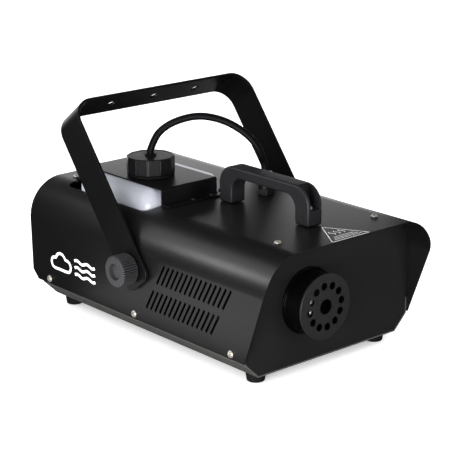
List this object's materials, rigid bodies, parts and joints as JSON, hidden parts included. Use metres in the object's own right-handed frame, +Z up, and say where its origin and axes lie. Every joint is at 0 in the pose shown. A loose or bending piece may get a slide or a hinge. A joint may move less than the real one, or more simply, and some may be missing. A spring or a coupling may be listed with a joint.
{
  "type": "fog machine",
  "caption": "Stage fog machine: black sheet-metal case with a hooded front nozzle, tilting hanging yoke, carry handle, fluid tank with screw cap, and slanted side vents.",
  "frame": {"origin": "middle of the bounding box's footprint, on the surface that the rubber feet stand on", "axes": "+Z up, -Y the way the fog leaves, +Y the rear panel, X across between the two clamp knobs"},
  "size_m": [0.2918, 0.3996, 0.2535],
  "materials": {
    "case_paint": "satin black powder coat with a fine texture",
    "tray_paint": "satin black-grey powder coat",
    "yoke_paint": "satin black powder coat on 3 mm steel strip",
    "bracket_paint": "satin black powder coat",
    "nozzle_paint": "satin black",
    "nickel_hardware": "bright nickel plate",
    "bright_steel": "plain zinc-plated sheet",
    "rubber": "matt black rubber",
    "hose_rubber": "smooth black hose",
    "handle_plastic": "matt black nylon with a fine grain",
    "knob_plastic": "matt black, ribbed rim",
    "cap_plastic": "black, slightly glossy",
    "fitting_plastic": "black",
    "rocker_red": "glossy red",
    "tank_plastic": "milky, translucent blow-moulded polyethylene",
    "brass": "plain",
    "heater_aluminium": "cast",
    "insulation": "woven glass fibre",
    "board": "green solder mask",
    "pump_coil": "wound coil in a red moulding"
  },
  "bodies": {
    "chassis": {"base_tray": "tray_paint", "bracket_screw_left": "nickel_hardware", "bracket_screw_right": "nickel_hardware", "carry_handle": "handle_plastic", "circuit_board": "board", "cover_shell": "case_paint", "fluid_hose": "hose_rubber", "fluid_tank": "tank_plastic", "foot_front_left": "rubber", "foot_front_right": "rubber", "foot_rear_left": "rubber", "foot_rear_right": "rubber", "front_panel": "case_paint", "handle_screw_front": "nickel_hardware", "handle_screw_rear": "nickel_hardware", "heater_block": "heater_aluminium", "heater_cradle": "bright_steel", "hose_clamp": "nickel_hardware", "hose_gland": "fitting_plastic", "insulation_jacket": "insulation", "neck_seal": "rubber", "nozzle_barrel": "nozzle_paint", "nozzle_disc": "nozzle_paint", "nozzle_tube": "brass", "nut_plate_left": "nickel_hardware", "nut_plate_right": "nickel_hardware", "pickup_tube": "tank_plastic", "power_inlet": "fitting_plastic", "pump": "pump_coil", "pump_bracket": "bright_steel", "pump_tube": "brass", "rear_panel": "case_paint", "remote_socket": "fitting_plastic", "side_screw_left_front": "nickel_hardware", "side_screw_left_middle": "nickel_hardware", "side_screw_left_rear": "nickel_hardware", "side_screw_right_front": "nickel_hardware", "side_screw_right_middle": "nickel_hardware", "side_screw_right_rear": "nickel_hardware", "suction_tube": "tank_plastic", "switch_frame": "fitting_plastic", "tank_bracket": "bracket_paint", "thermostat": "bright_steel", "top_screw_left_front": "nickel_hardware", "top_screw_left_rear": "nickel_hardware", "top_screw_right_front": "nickel_hardware", "top_screw_right_rear": "nickel_hardware", "yoke_spacer_left": "rubber", "yoke_spacer_right": "rubber"},
    "yoke": {"yoke": "yoke_paint"},
    "knob_washer_left": {"knob_washer_left": "rubber"},
    "knob_left": {"knob_left": "knob_plastic", "knob_bolt_left": "nickel_hardware"},
    "knob_washer_right": {"knob_washer_right": "rubber"},
    "knob_right": {"knob_right": "knob_plastic", "knob_bolt_right": "nickel_hardware"},
    "cap_grommet": {"cap_grommet": "rubber"},
    "tank_cap": {"tank_cap": "cap_plastic"},
    "power_rocker": {"power_rocker": "rocker_red"},
    "fuse_cap": {"fuse_cap": "fitting_plastic"}
  },
  "joints": [
    {"name": "yoke_tilt", "type": "hinge", "parent": "chassis", "child": "yoke", "pos_m": [0, 0.005, 0.09], "axis": [1, 0, 0], "range_deg": [-26, 101]},
    {"name": "knob_left_travel", "type": "slide", "parent": "chassis", "child": "knob_washer_left", "axis": [-1, 0, 0], "range_m": [0, 0.0025]},
    {"name": "knob_left_turn", "type": "hinge", "parent": "knob_washer_left", "child": "knob_left", "pos_m": [0, 0.005, 0.09], "axis": [-1, 0, 0], "range_deg": [0, 722]},
    {"name": "knob_right_travel", "type": "slide", "parent": "chassis", "child": "knob_washer_right", "axis": [1, 0, 0], "range_m": [0, 0.0025]},
    {"name": "knob_right_turn", "type": "hinge", "parent": "knob_washer_right", "child": "knob_right", "pos_m": [0, 0.005, 0.09], "axis": [1, 0, 0], "range_deg": [0, 722]},
    {"name": "cap_rise", "type": "slide", "parent": "chassis", "child": "cap_grommet", "axis": [0, 0, 1], "range_m": [0, 0.003]},
    {"name": "cap_turn", "type": "hinge", "parent": "cap_grommet", "child": "tank_cap", "pos_m": [-0.04, 0.075, 0.185], "axis": [0, 0, 1], "range_deg": [0, 362]},
    {"name": "rocker_tilt", "type": "hinge", "parent": "chassis", "child": "power_rocker", "pos_m": [0.07, 0.18125, 0.098], "axis": [1, 0, 0], "range_deg": [-16, 0]},
    {"name": "fuse_cap_turn", "type": "hinge", "parent": "chassis", "child": "fuse_cap", "pos_m": [0.03, 0.18275, 0.06], "axis": [0, 1, 0], "range_deg": [0, 90]}
  ],
  "couplings": [
    {"joint": "knob_left_turn", "follows": "knob_left_travel", "rad_per_m": 5026.5},
    {"joint": "knob_right_turn", "follows": "knob_right_travel", "rad_per_m": 5026.5},
    {"joint": "cap_turn", "follows": "cap_rise", "rad_per_m": 2094.4}
  ]
}
